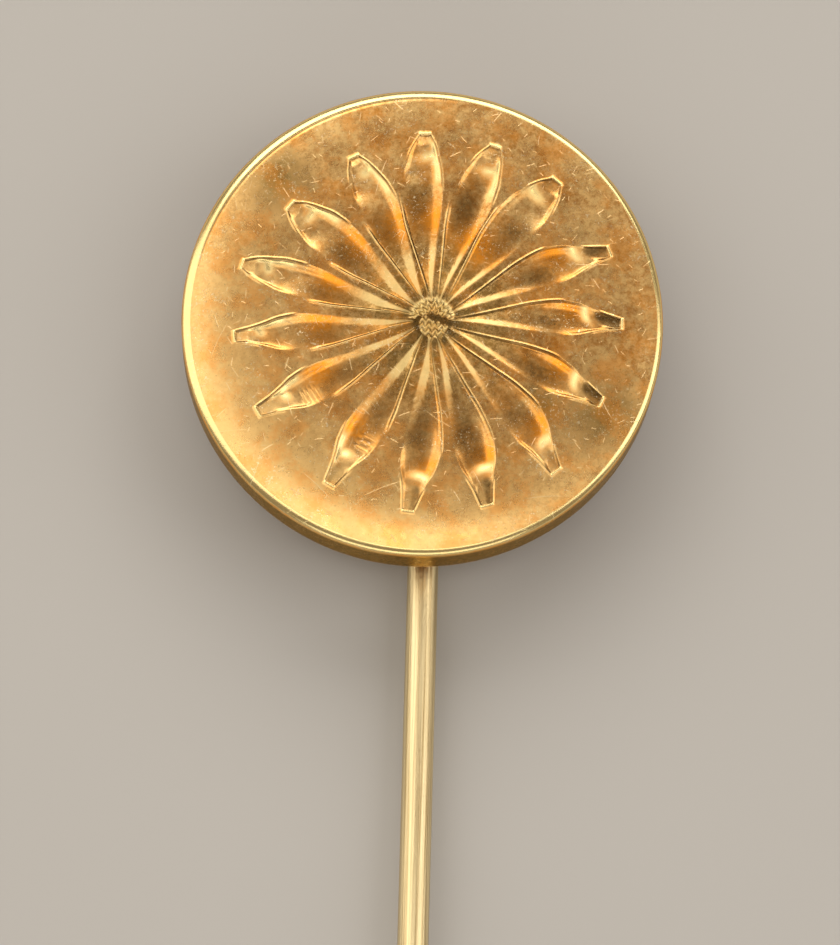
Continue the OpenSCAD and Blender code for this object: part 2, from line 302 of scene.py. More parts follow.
def petal_patch(number, turn):
    """Points across one petal, ring by ring from its start to just past its tip.

    With each point goes its height, how freshly cut and painted bright as a highlight it is, its orange
    tarnish and painted glow, and its grime and painted shade."""
    reach = petal_reach * petal_size[number]
    outline = round_width_mm if number in round_petals else half_width_mm
    width = smooth_through(outline, along) * MM * petal_width[number] * hand.uniform(0.98, 1.02)
    depth_scale = hand.uniform(0.9, 1.1)
    near_tip = soft_step(0.85, 0.92, along)
    if petal_lean[number] > 0:
        left_burr = np.maximum(soft_band(0.0, 0.1, 0.6, 0.7, along), near_tip)
        right_burr = 0.8 * soft_step(0.8, 0.88, along)
    else:
        left_burr = np.maximum(soft_band(0.0, 0.1, 0.52, 0.62, along), 0.8 * near_tip)
        right_burr = soft_step(0.62, 0.72, along)
    half_floor = width - np.minimum(wall_width, 0.45 * width)
    right_edge = raised_burr(-1, width, right_burr, 0.8)[::-1]
    left_edge = raised_burr(1, width, left_burr, 0.95)
    lines = [(share * half_floor, *floor_line(number, share, width, depth_scale)) for share in floor_shares]
    lines = right_edge + lines + left_edge
    across, height, fresh_and_highlight, orange, shade_and_grime = (np.array(layer).T for layer in zip(*lines))
    if number in chatter_pitch:
        chatter = np.sin(2 * math.pi * along * reach / (chatter_pitch[number] * MM))
        chatter *= soft_band(0.64, 0.67, 0.74, 0.77, along)
        chatter_place = soft_band(-0.1, 0.2, 0.7, 0.95, floor_shares)
        height[:, len(right_edge):-len(left_edge)] += chatter_height * chatter[:, None] * chatter_place
    bow = petal_bow[number] * MM * np.sin(np.pi * along ** 1.3)
    across = across + bow[:, None]
    distance = petal_start + along[:, None] * (reach - petal_start) + 0 * across
    # past the tip: the end wall, and the burr that the tool pushed up outside it, painted bright as a
    # highlight
    inside = np.abs(across[-1]) <= width[-1] + 0.005 * MM
    for gap_mm, lift in tip_rings:
        across = np.vstack([across, across[-1] * tip_flare])
        distance = np.vstack([distance, 0 * distance[0] + reach + gap_mm * MM])
        height = np.vstack([height, np.where(inside, burr_height * lift, 0.0)])
        fresh_and_highlight = np.vstack([fresh_and_highlight, np.where(inside, 1.0, 0.0) * (lift > 0)])
        orange = np.vstack([orange, 0 * orange[0]])
        shade_and_grime = np.vstack([shade_and_grime, 0 * shade_and_grime[0]])
    angle = math.radians(turn)
    x = distance * math.cos(angle) - across * math.sin(angle)
    y = distance * math.sin(angle) + across * math.cos(angle)
    return x, y, height, fresh_and_highlight, orange, shade_and_grime


def flower_grid():
    """All petals side by side, anticlockwise, with plain face between them."""
    turns = [first_petal - number * 360 / petal_count + petal_turn[number] for number in range(petal_count)]
    order = sorted(range(petal_count), key=lambda number: turns[number] % 360)
    patches = [petal_patch(number, turns[number]) for number in order]
    columns = [[] for _ in patches[0]]
    for here, beyond in zip(patches, patches[1:] + patches[:1]):
        for layer in range(len(columns)):
            columns[layer].append(here[layer])
            for step in range(1, gap_columns + 1):
                share = step / (gap_columns + 1)
                between = here[layer][:, -1] * (1 - share) + beyond[layer][:, 0] * share
                columns[layer].append(between[:, None])
    return [np.hstack(layer) for layer in columns]


petal_x, petal_y, petal_height, *petal_wear_and_painted_light = flower_grid()

# The middle is wriggle-cut, with the graver rocked from side to side: a toothed crescent, and a half disc
# below it, with a slanting gap between them.
middle_rings = 34
crescent_r = 0.63 * MM
crescent_sway = 0.05 * MM
crescent_teeth = 18
tooth_height = 0.07 * MM
half_disc_r = 0.42 * MM
half_gap_width = 0.1 * MM
soft_edge = 0.025 * MM
wriggle_pitch = 0.19 * MM
wriggle_swing = 0.12 * MM
row_gap = 0.17 * MM
row_sway = 0.04 * MM
wriggle_depth = 0.06 * MM


def zigzag(x):
    """Straight lines between 1 at each even number and 0 at each odd one."""
    return np.abs(x % 2 - 1)


def uneven(x, y, waves_per_mm, layer):
    """Smooth random numbers over the face."""
    values = [noise.noise((a / MM * waves_per_mm, b / MM * waves_per_mm, layer))
              for a, b in zip(x.flat, y.flat)]
    return np.reshape(values, x.shape)


def wriggle(x, y):
    """The rocked cuts at the flower's middle: their height, where they are, and how much darker they are
    painted: in the low parts of the cuts, in a ring round them, and between them.
    """
    r = np.hypot(x, y)
    angle = np.arctan2(y, x)
    rough = uneven(x, y, 7.0, 3.0)
    teeth = tooth_height * zigzag(angle * crescent_teeth / math.pi + 0.5 * rough)
    outer_r = crescent_r + crescent_sway * np.sin(angle) + teeth
    above_gap = y - 0.05 * MM + 0.35 * x + 0.6 * np.maximum(0, -0.1 * MM - x)
    gap_edge = tooth_height * zigzag(x / (0.1 * MM) + 0.4 * rough)
    half_gap = half_gap_width * soft_step(-0.2 * MM, -0.02 * MM, x)
    crescent = soft_step(0, soft_edge, outer_r - r) * soft_step(0, soft_edge, above_gap - half_gap - gap_edge)
    crescent *= soft_step(-0.3, -0.2, np.sin(angle - math.radians(14)))
    lower_r = np.hypot(x - 0.04 * MM, y + 0.17 * MM)
    half_disc = soft_step(0, soft_edge, half_disc_r + 0.05 * MM * rough - lower_r)
    half_disc *= soft_step(0, soft_edge, gap_edge - half_gap - above_gap)
    # the strokes run round the crescent, and straight across the half disc
    swing = wriggle_swing * zigzag(2 * (angle * 0.47 * MM / wriggle_pitch + 0.15 * rough))
    strokes = zigzag(2 * (r + swing + row_sway * rough) / row_gap)
    low_swing = wriggle_swing * zigzag(2 * (x / wriggle_pitch + 0.15 * rough))
    low_strokes = zigzag(2 * (y + low_swing + row_sway * rough) / row_gap)
    cut = crescent * (strokes + 0.25 * rough) + half_disc * (low_strokes + 0.25 * rough)
    place = np.maximum(crescent, half_disc)
    height = wriggle_depth * (cut - 0.75 * place)
    around = 0.6 * hump(0.72 * MM, 0.22 * MM, r)
    in_gap = 0.9 * (1 - soft_step(0.55 * MM, 0.62 * MM, r))
    shade_and_grime = np.where(place > 0.3, np.clip(1.0 - 2.0 * cut, 0, 1), np.maximum(around, in_gap))
    return height, place, shade_and_grime


middle_shares = (np.arange(1, middle_rings) / middle_rings)[:, None]
middle_x, middle_y = middle_shares * petal_x[0], middle_shares * petal_y[0]
face_x = np.vstack([middle_x, petal_x])
face_y = np.vstack([middle_y, petal_y])
face_height = np.vstack([0 * middle_x, petal_height])
face_wear_and_painted_light = [np.vstack([0 * middle_x, layer]) for layer in petal_wear_and_painted_light]
near = middle_rings + 8
wriggle_height, wriggle_place, wriggle_darkening = wriggle(face_x[:near], face_y[:near])
face_height[:near] += wriggle_height
face_wear_and_painted_light[0][:near] = np.maximum(face_wear_and_painted_light[0][:near] * (1 - wriggle_place), 0.8 * wriggle_place)
face_wear_and_painted_light[2][:near] = np.maximum(face_wear_and_painted_light[2][:near], wriggle_darkening * (face_wear_and_painted_light[0][:near] < 0.9))

# From the petals' tips the face runs on to the rolled edge. It is domed, and drops most at the lower left.
rim_r = head_r - 0.46 * MM
rim_rings = 18
dome_power = 7
face_drop = 0.16 * MM
face_unevenness = 0.006 * MM
tip_x, tip_y = face_x[-1], face_y[-1]
column_angle = np.unwrap(np.arctan2(tip_y - head_middle.y, tip_x - head_middle.x))
even_angle = column_angle[0] + np.linspace(0, 2 * math.pi, len(column_angle), endpoint=False)
rim_angle = 0.6 * column_angle + 0.4 * even_angle
outer_shares = np.linspace(0, 1, rim_rings + 1)[1:, None]
outer_x = tip_x + outer_shares * (head_middle.x + rim_r * np.cos(rim_angle) - tip_x)
outer_y = tip_y + outer_shares * (head_middle.y + rim_r * np.sin(rim_angle) - tip_y)
face_x = np.vstack([face_x, outer_x])
face_y = np.vstack([face_y, outer_y])
face_height = np.vstack([face_height, 0 * outer_x])

from_middle = np.hypot(face_x - head_middle.x, face_y - head_middle.y)
column_drop = face_drop * (0.72 - 0.38 * np.cos(rim_angle - math.radians(60)))
face_level = face_z - column_drop * (from_middle / rim_r) ** dome_power
face_level += face_unevenness * (uneven(face_x, face_y, 0.45, 8.0) - 0.5)
face_rings = np.stack([face_x, face_y, face_level + face_height], axis=2)

# The rolled edge, widest at the left, with a fine groove inside it at the top left; then the side and the
# lip that is turned in behind. The roll is painted bright as a highlight, and the groove and the side dark as
# shade.
groove = np.clip(3 * np.cos(rim_angle - math.radians(125)) - 2.1, 0, 1)
groove_depth = 0.012 * MM
roll = (0.27 + 0.08 * np.cos(rim_angle - math.radians(165))) * MM
roll_drop = 0.2 * MM
edge_slope = dome_power * column_drop / rim_r
first_turn = np.arctan(edge_slope * roll / roll_drop)
roll_start = head_r - roll * (1 - np.sin(first_turn))
roll_top = face_level[-1] - edge_slope * (roll_start - rim_r)
side_low = shell_low.z
lip_round = 0.1 * MM
lip_inner_r = head_r - 1.15 * MM
plate_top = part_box("back_plate")[0].z
inside_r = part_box("back_plate")[1].x - head_middle.x + 0.01 * MM
inside_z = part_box("core_disc")[1].z
edge_rings = []
edge_wear_and_painted_light = []


def edge_ring(r, z, fresh_and_highlight=0.0, orange=0.0, shade_and_grime=0.0):
    """Adds one ring round the head's middle, with its wear and painted light."""
    x = head_middle.x + r * np.cos(rim_angle)
    y = head_middle.y + r * np.sin(rim_angle)
    edge_rings.append(np.stack([x, y, z + 0 * rim_angle], axis=1))
    edge_wear_and_painted_light.append([value + 0 * rim_angle for value in (fresh_and_highlight, orange, shade_and_grime)])


for share in (0.35, 0.65):
    edge_ring(rim_r + share * (roll_start - rim_r), face_level[-1] + share * (roll_top - face_level[-1]))
# the groove, painted dark as the shade in the crease
for gap in (0.03 * MM, 0.014 * MM):
    edge_ring(roll_start - gap, roll_top + edge_slope * gap - groove_depth * groove, shade_and_grime=0.8 * groove)
# the roll, painted bright as a highlight over its top and outer part
for share in (0, 0.1, 0.2, 0.3, 0.4, 0.5, 0.62, 0.75, 0.88, 1):
    turn = first_turn + share * (math.pi / 2 - first_turn)
    edge_ring(head_r - roll * (1 - np.sin(turn)), roll_top - roll_drop * (np.cos(first_turn) - np.cos(turn)),
              fresh_and_highlight=0.95 * (share < 0.7))
# the side, painted dark brown as shade and a dark reflection
for share in (0.3, 0.45, 0.6, 0.8, 0.92):
    edge_ring(head_r, face_z - share * (face_z - side_low), orange=0.4, shade_and_grime=0.95)
# the lip and the inside behind, painted darker and a little orange
for turn in np.radians([30, 60, 90]):
    edge_ring(head_r - lip_round * (1 - math.cos(turn)), side_low + lip_round * (1 - math.sin(turn)),
              orange=0.4, shade_and_grime=0.45)
for r, z in ((lip_inner_r + 0.08 * MM, side_low), (lip_inner_r, side_low + 0.06 * MM),
             (lip_inner_r, plate_top), (inside_r, plate_top), (inside_r, inside_z)):
    edge_ring(r, z, orange=0.4, shade_and_grime=0.45)


def skin(name, rings, first_point=None, last_point=None, loop=False):
    """A skin over rings of points, closed at each end by a point, or joined into a tube by loop."""
    rings = np.asarray(rings, float)
    count, around = rings.shape[:2]
    points = rings.reshape(-1, 3).tolist()
    faces = []
    for ring in range(count if loop else count - 1):
        here, beyond = ring * around, (ring + 1) % count * around
        for step in range(around):
            following = (step + 1) % around
            faces.append((here + step, here + following, beyond + following, beyond + step))
    for point, start in ((first_point, 0), (last_point, (count - 1) * around)):
        if point is not None:
            faces += [(len(points), start + step, start + (step + 1) % around) for step in range(around)]
            points.append(tuple(point))
    mesh = bpy.data.meshes.new(name)
    mesh.from_pydata(points, [], faces)
    work = bmesh.new()
    work.from_mesh(mesh)
    bmesh.ops.recalc_face_normals(work, faces=work.faces)
    work.to_mesh(mesh)
    work.free()
    mesh.shade_smooth()
    piece = bpy.data.objects.new(name, mesh)
    bpy.context.scene.collection.objects.link(piece)
    return piece


middle_z = float(face_level[0].mean())
shell = skin("engraved_head", np.concatenate([face_rings, edge_rings]),
             (0, 0, middle_z), (head_middle.x, head_middle.y, inside_z))
# the layers carry freshness with painted highlight, orange tarnish with a painted glow, and grime with
# painted shade
wear_and_painted_light_names = ("fresh_cut_and_highlight", "orange_glow_and_tarnish", "shade_and_grime")
for layer_name, petal_layer, edge_layer in zip(wear_and_painted_light_names, face_wear_and_painted_light, zip(*edge_wear_and_painted_light)):
    layer = np.vstack([petal_layer, 0 * outer_x, edge_layer])
    wear_and_painted_light_layer = shell.data.attributes.new(layer_name, "FLOAT", "POINT")
    wear_and_painted_light_layer.data.foreach_set("value", np.append(layer.ravel(), [0.0, 0.0]).astype(np.float32))


def wear_tools(tree):
    """The place on the piece, and the noise, ranges and sums that one finish is mixed with."""
    place = add_node(tree, "ShaderNodeTexCoord").outputs["Object"]

    def noise_at(size, detail=4.0):
        return add_node(tree, "ShaderNodeTexNoise", {"Scale": 1 / size, "Detail": detail, "Roughness": 0.7},
                        {"Vector": place}).outputs["Fac"]

    def between(value, low, high, to_low=0.0, to_high=1.0):
        return add_node(tree, "ShaderNodeMapRange",
                        {"From Min": low, "From Max": high, "To Min": to_low, "To Max": to_high},
                        {"Value": value}).outputs["Result"]

    def combined(operation, first, second=0.0):
        node = add_node(tree, "ShaderNodeMath", operation=operation)
        for socket, value in zip(node.inputs, (first, second)):
            if isinstance(value, float):
                socket.default_value = value
            else:
                tree.links.new(value, socket)
        return node.outputs["Value"]

    return place, noise_at, between, combined


def deep_stains(tree):
    """Old dark stains with ragged edges: one at the upper left, two at the lower right, two small ones."""
    place, noise_at, between, combined = wear_tools(tree)
    stains = None
    for x, y, size in ((-4.6, 4.1, 1.5), (5.1, -2.7, 1.8), (3.3, -2.5, 1.0), (-2.4, 1.85, 0.4),
                       (-1.7, 2.4, 0.3)):
        away = add_node(tree, "ShaderNodeVectorMath", {1: (x * MM, y * MM, face_z)}, {0: place},
                        operation="DISTANCE").outputs["Value"]
        ragged = combined("ADD", away, combined("MULTIPLY", noise_at(0.8 * MM), 1.2 * MM))
        spot = between(ragged, 0.6 * MM, (size + 0.6) * MM, 1.0, 0.0)
        stains = spot if stains is None else combined("MAXIMUM", stains, spot)
    return stains


def tarnished_gold(tree, stains, fresh_and_highlight, orange_glow_and_tarnish):
    """Gold under brown, olive and orange tarnish, thick among the petals, and thinned towards the lower left
    edge as a painted glow.
    """
    place, noise_at, between, combined = wear_tools(tree)
    # less tarnish towards the lower left edge: a painted glow where the face catches the light
    towards_lower_left = add_node(tree, "ShaderNodeVectorMath", {1: (-0.6 / head_r, -0.8 / head_r, 0.0)},
                      {0: place}, operation="DOT_PRODUCT").outputs["Value"]
    from_centre = add_node(tree, "ShaderNodeVectorMath", None, {0: place},
                           operation="LENGTH").outputs["Value"]
    lower_left_glow = between(from_centre, 3 * MM, 6.5 * MM, 0.35, 1.0)
    lower_left_glow = combined("MULTIPLY", between(towards_lower_left, -0.3, 0.9), lower_left_glow)
    patches = between(noise_at(1.7 * MM, 6.0), 0.36, 0.62)
    mottle = between(noise_at(0.16 * MM, 6.0), 0.42, 0.6)
    tarnish = combined("ADD", combined("MULTIPLY", patches, 0.5), combined("MULTIPLY", mottle, 0.65))
    tarnish = combined("ADD", tarnish, between(noise_at(0.05 * MM, 3.0), 0.3, 0.7, -0.25, 0.25))
    tarnish = combined("ADD", tarnish, between(from_centre, 3 * MM, 6 * MM, 0.4, -0.2))
    tarnish = combined("MULTIPLY", tarnish, between(lower_left_glow, 0.0, 1.0, 1.0, 0.15))
    tarnish = combined("MAXIMUM", tarnish, combined("MULTIPLY", stains, 0.9))
    tarnish = combined("MULTIPLY", tarnish, between(fresh_and_highlight, 0.0, 1.0, 1.0, 0.2))
    olive_share = combined("MAXIMUM", between(noise_at(2.4 * MM), 0.55, 0.65, 0.0, 0.35), stains)
    olive_share = combined("MAXIMUM", olive_share, between(from_centre, 3.25 * MM, 4.5 * MM, 0.9, 0.0))
    brown = mixed(tree, olive_share, (0.58, 0.26, 0.06), (0.29, 0.2, 0.06))
    gold = mixed(tree, tarnish, (0.98, 0.64, 0.25), brown)
    # orange from the layer: partly tarnish, and partly a painted glow beside the petals' highlights and on
    # the head's side
    orange_share = between(noise_at(0.2 * MM, 5.0), 0.35, 0.55, 0.6, 1.2)
    orange_share = combined("MULTIPLY", orange_glow_and_tarnish, orange_share)
    face_orange = combined("MULTIPLY", between(noise_at(1.0 * MM), 0.46, 0.6), 0.42)
    return mixed(tree, combined("MAXIMUM", orange_share, face_orange), gold, (0.98, 0.36, 0.035))


def short_scratches(tree):
    """Short slightly bent scratches, one in each cell of a scattered net and each turned its own way."""
    place, _, between, combined = wear_tools(tree)
    scratches = None
    for cell, length, width in ((1.3, 0.42, 0.011), (0.7, 0.3, 0.009), (0.38, 0.16, 0.008), (2.3, 1.2, 0.01)):
        spread = add_node(tree, "ShaderNodeVectorMath", {"Scale": 1 / (cell * MM)}, {0: place},
                          operation="SCALE")
        net = add_node(tree, "ShaderNodeTexVoronoi", {"Scale": 1.0}, {"Vector": spread.outputs["Vector"]},
                       voronoi_dimensions="2D")
        local = add_node(tree, "ShaderNodeVectorMath", None,
                         {0: spread.outputs["Vector"], 1: net.outputs["Position"]}, operation="SUBTRACT")
        chance = add_node(tree, "ShaderNodeSeparateXYZ", None, {"Vector": net.outputs["Color"]})
        turn = combined("MULTIPLY", chance.outputs["X"], 2 * math.pi)
        laid = add_node(tree, "ShaderNodeVectorRotate", None,
                        {"Vector": local.outputs["Vector"], "Angle": turn}, rotation_type="Z_AXIS")
        way = add_node(tree, "ShaderNodeSeparateXYZ", None, {"Vector": laid.outputs["Vector"]})
        curve = combined("MULTIPLY", combined("MULTIPLY", way.outputs["X"], way.outputs["X"]), 0.25)
        off_line = combined("ABSOLUTE", combined("SUBTRACT", way.outputs["Y"], curve))
        run = combined("ABSOLUTE", way.outputs["X"])
        line = combined("MULTIPLY", between(off_line, width * 0.5 / cell, width * 1.3 / cell, 1.0, 0.0),
                        between(run, length * 0.35 / cell, length * 0.5 / cell, 1.0, 0.0))
        line = combined("MULTIPLY", line, between(chance.outputs["Y"], 0.3, 0.9, 0.0, 1.0))
        scratches = line if scratches is None else combined("MAXIMUM", scratches, line)
    return scratches


def worn_gold():
    """Gold-filled face: tarnished in patches, wiped bright where it was cut, with painted highlights, painted
    shade and a painted orange glow from its layers, finely scratched and pitted.
    """
    finish = bpy.data.materials.new("worn_gold")
    finish.use_nodes = True
    tree = finish.node_tree
    shader = tree.nodes["Principled BSDF"]
    shader.inputs["Metallic"].default_value = 1.0
    shader.inputs["Specular Tint"].default_value = (1.0, 0.82, 0.5, 1.0)
    _, noise_at, between, combined = wear_tools(tree)
    fresh_and_highlight, orange_glow_and_tarnish, shade_and_grime = (add_node(tree, "ShaderNodeAttribute", attribute_name=layer).outputs["Fac"]
                                    for layer in wear_and_painted_light_names)
    stains = deep_stains(tree)
    scratches = combined("MULTIPLY", short_scratches(tree), between(shade_and_grime, 0.2, 0.6, 1.0, 0.0))
    speck_places = combined("MAXIMUM", between(noise_at(1.1 * MM, 3.0), 0.46, 0.6), stains)
    specks = combined("MAXIMUM", between(noise_at(0.06 * MM, 2.0), 0.61, 0.67),
                      between(noise_at(0.16 * MM, 5.0), 0.61, 0.66))
    specks = combined("MULTIPLY", specks, speck_places)
    bright_marks = combined("MAXIMUM", combined("MULTIPLY", specks, 0.85),
                            combined("MULTIPLY", scratches, 0.6))
    pits = combined("MULTIPLY", between(noise_at(0.07 * MM, 2.0), 0.36, 0.3), 0.4)
    mottled_shade_and_grime = combined("MULTIPLY", shade_and_grime, between(noise_at(0.12 * MM, 3.0), 0.35, 0.6, 0.7, 1.0))
    # the tarnish, then the pits in it, the bright cuts and painted highlights through it, the grime and
    # painted shade in them, and the marks over all
    colour = tarnished_gold(tree, stains, fresh_and_highlight, orange_glow_and_tarnish)
    colour = mixed(tree, pits, colour, (0.3, 0.15, 0.04))
    # pale yellow where the metal is freshly cut, and as a painted highlight on burrs, facets, bright bands
    # and the rolled edge
    colour = mixed(tree, between(fresh_and_highlight, 0.5, 1.0, 0.0, 0.9), colour, (1.0, 0.83, 0.38))
    # near black where grime lies, and as painted shade in the wall lines, steps, bowls and the head's side
    colour = mixed(tree, mottled_shade_and_grime, colour, (0.13, 0.07, 0.02))
    colour = mixed(tree, bright_marks, colour, (1.0, 0.82, 0.5))
    tree.links.new(colour, shader.inputs["Base Color"])
    # a facet left as cut is satin, and a burnished edge is smooth
    rough = between(noise_at(0.7 * MM), 0.3, 0.7, 0.24, 0.34)
    rough = combined("MULTIPLY", rough, between(fresh_and_highlight, 0.0, 0.75, 1.0, 1.5))
    rough = combined("MULTIPLY", rough, between(fresh_and_highlight, 0.78, 0.92, 1.0, 0.5))
    rough = combined("ADD", rough, combined("MULTIPLY", scratches, 0.05))
    tree.links.new(rough, shader.inputs["Roughness"])
    height = combined("ADD", combined("MULTIPLY", noise_at(0.05 * MM), 0.35),
                      combined("MULTIPLY", scratches, -0.9))
    height = combined("ADD", height, combined("MULTIPLY", specks, 0.2))
    relief = add_node(tree, "ShaderNodeBump", {"Strength": 0.6, "Distance": 0.004 * MM}, {"Height": height})
    tree.links.new(relief.outputs["Normal"], shader.inputs["Normal"])
    return finish


face_gold = worn_gold()
shell.data.materials.append(face_gold)
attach(shell, "head")
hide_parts("face_shell")

# ---- Back plate ----------------------------------------------------------------------------------
# A plain disc of the same gold sheet, dropped in behind the core and held by the shell's lip.
# It was polished on a wheel, which left fine straight marks.
satin_gold = metal("satin_gold", (0.88, 0.62, 0.28), dark_colour=(0.62, 0.38, 0.16), roughness=0.24,
                   patch_mm=(1.2, 1.2, 1.2), patch_share=0.12,
                   grain_mm=(1.8, 0.03, 1.8), bump_mm=0.003, bump_strength=0.5)


def turned(name, profile, axis_point, axis, sides=96, loop=True, ends=None):
    """A lathe-turned piece: the profile's (radius, distance along the axis) points, swung round the axis.

    Without loop the first and last points are closed on the axis, at the distances in ends."""
    out = axis.orthogonal().normalized()
    over = axis.cross(out)
    rings = []
    for radius, distance in profile:
        ring = []
        for step in range(sides):
            a = 2 * math.pi * step / sides
            ring.append(axis_point + axis * distance + radius * (math.cos(a) * out + math.sin(a) * over))
        rings.append([tuple(p) for p in ring])
    if loop:
        return skin(name, rings, loop=True)
    first, last = ends or (profile[0][1], profile[-1][1])
    return skin(name, rings, axis_point + axis * first, axis_point + axis * last)


def fixed(piece, body, finish, slot, *nodes):
    """Gives a finished piece its metal, and hangs it on its body in place of its CAD node."""
    piece.data.materials.append(finish)
    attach(piece, body)
    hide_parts(*nodes)
    return piece


plate_low, plate_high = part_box("back_plate")
plate_r = (plate_high.x - plate_low.x) / 2
plate_t = plate_high.z - plate_low.z
up = Vector((0, 0, 1))
plate_edge = 0.05 * MM
plate_profile = [(plate_r * 0.5, 0), (plate_r - plate_edge, 0), (plate_r, plate_edge), (plate_r, plate_t)]
plate = turned("closing_plate", plate_profile, Vector((head_middle.x, head_middle.y, plate_low.z)), up,
               sides=160, loop=False)
fixed(plate, "head", satin_gold, "engraved_gold", "back_plate")

# ---- Foot pad and solder -------------------------------------------------------------------------
# A small round pad of gold-filled sheet with a hole for the wire, soldered flat to the back plate,
# and the ring of solder that was run round the wire's foot.
wire_r = frame["record"]["mounts"][0]["dims"]["r_mm"] * MM
pale_gold = metal("drawn_pale_gold", (0.93, 0.74, 0.42), dark_colour=(0.7, 0.48, 0.22), roughness=0.2,
                  patch_mm=(1.5, 1.5, 1.5), patch_share=0.06,
                  grain_mm=(0.045, 2.5, 0.045), bump_mm=0.004, bump_strength=0.7)
pad_low, pad_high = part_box("stem_pad")
foot = Vector(((pad_low.x + pad_high.x) / 2, (pad_low.y + pad_high.y) / 2, pad_low.z))
pad_r = (pad_high.x - pad_low.x) / 2
pad_t = pad_high.z - pad_low.z
hole_r = wire_r + 0.01 * MM
pad_round = 0.1 * MM
pad_corner = 0.03 * MM
pad_profile = [(hole_r, 0), (pad_r - pad_round, 0), (pad_r - pad_corner, pad_corner), (pad_r, pad_round),
               (pad_r, pad_t), (hole_r, pad_t)]
pad = turned("foot_pad", pad_profile, foot, up)
fixed(pad, "head", pale_gold, "pale_gold", "stem_pad")

solder_low, solder_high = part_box("solder_fillet")
solder_r = (solder_high.x - solder_low.x) / 2
solder_rise = solder_low.z - solder_high.z
flowed_solder = metal("flowed_solder", (0.8, 0.68, 0.42), dark_colour=(0.5, 0.4, 0.24), roughness=0.32,
                      patch_mm=(0.3, 0.3, 0.3), patch_share=0.16,
                      grain_mm=(0.12, 0.12, 0.12), bump_mm=0.01, bump_strength=0.8)
fillet_profile = [(hole_r, 0), (hole_r, solder_rise)]
fillet_profile += [(hole_r + (solder_r - hole_r) * (1 - math.cos(a)), solder_rise * (1 - math.sin(a)))
                   for a in np.radians(range(10, 91, 10))]
solder = turned("solder_ring", fillet_profile, Vector((foot.x, foot.y, solder_high.z)), up, sides=64)
fixed(solder, "head", flowed_solder, "solder", "solder_fillet")

# ---- Stem ----------------------------------------------------------------------------------------
# One length of drawn gold-filled wire: a foot set in the pad, a bend, a straight shank that lies
# behind the head, a gentle taper and a point ground sharp. The die left fine lines along it.
# its dark tone runs in long thin streaks along the wire: painted dark reflection lines, partly die streaks
drawn_wire = metal("drawn_wire", (0.98, 0.82, 0.48), dark_colour=(0.4, 0.26, 0.1), roughness=0.3,
                   patch_mm=(0.07, 8, 0.07), patch_share=0.2,
                   grain_mm=(0.03, 0.12, 0.03), bump_mm=0.012, bump_strength=0.8)
stem_low, stem_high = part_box("stem")
bend_r = 0.9 * MM
taper_length = 10 * MM
point_length = 6 * MM
taper_end_r = 0.36 * MM
tip_r = 0.03 * MM
shank_top = stem_high.y - wire_r - bend_r
shank_end = stem_low.y + taper_length + point_length
foot_y = stem_high.y - wire_r
# the wire from its foot to its point: its middle, the way it runs, and its radius
line = [((0, foot_y, z), (0, 0, -1), wire_r) for z in np.linspace(stem_high.z, bend_r, 5)]
for turn in np.radians(range(10, 90, 10)):
    line.append(((0, shank_top + bend_r * math.cos(turn), bend_r * (1 - math.sin(turn))),
                 (0, -math.sin(turn), -math.cos(turn)), wire_r))
line += [((0, y, 0), (0, -1, 0), wire_r) for y in np.linspace(shank_top, shank_end, 28)]
line += [((0, shank_end - taper_length * share, 0), (0, -1, 0), wire_r + (taper_end_r - wire_r) * share)
         for share in np.linspace(0.1, 1, 10)]
line += [((0, shank_end - taper_length - point_length * share, 0), (0, -1, 0),
          taper_end_r + (tip_r - taper_end_r) * share) for share in np.linspace(0.1, 1, 12)]
# lines that the drawing die left along the wire: the angle round it, and the depth in millimetres
die_lines = [(62, 0.011), (88, 0.006), (113, 0.012), (134, 0.006), (20, 0.008), (200, 0.008), (250, 0.01),
             (290, 0.008)]
die_line_width = 3.2
stem_sides = 144
degrees_round = np.linspace(0, 360, stem_sides, endpoint=False)
die_mark = sum(depth_mm * MM * hump(angle, die_line_width, degrees_round) for angle, depth_mm in die_lines)
stem_rings = []
for middle, way, radius in line:
    side = Vector((1, 0, 0))
    over = Vector(way).cross(side)
    mark_left = min(1, radius / wire_r) * (0.6 + 0.4 * noise.noise((0, middle[1] / MM * 0.7, 0)))
    ring = []
    for angle, mark in zip(np.radians(degrees_round), die_mark):
        marked_r = float(radius - mark * mark_left)
        ring.append(tuple(Vector(middle) + marked_r * (math.cos(angle) * side + math.sin(angle) * over)))
    stem_rings.append(ring)
stem = skin("wire_stem", stem_rings, (0, foot_y, stem_high.z), (0, stem_low.y, 0))
fixed(stem, "head", drawn_wire, "pale_gold", "stem")

# ---- Guard barrel --------------------------------------------------------------------------------
# A drawn tube spun in at both ends, with two fine lines turned near its mouth.
# It slides on the stem and closes round the bush, the cage, the spring and the washer.
back = Vector((0, -1, 0))
barrel_low, barrel_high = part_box("guard_barrel")
mouth = Vector((0, barrel_high.y, 0))
barrel_r = (barrel_high.x - barrel_low.x) / 2
barrel_length = barrel_high.y - barrel_low.y
bush_low, bush_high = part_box("cone_bush")
bore_r = (bush_high.x - bush_low.x) / 2 + 0.01 * MM
spun_lip = bush_high.y
lip_t = barrel_high.y - spun_lip
mouth_r = 1.27 * MM
tail_r = 1.5 * MM
corner_r = 0.3 * MM
inner_corner = 0.06 * MM
turned_line_places = (1.0 * MM, 1.45 * MM)


def rounded(radius, start, way):
    """A quarter turn from the barrel's end face to its side, or back."""
    turns = np.radians(range(0, 91, 10))
    corner = [(radius - corner_r * (1 - math.sin(a)), start + way * corner_r * (1 - math.cos(a)))
              for a in turns]
    return corner if way > 0 else corner[::-1]


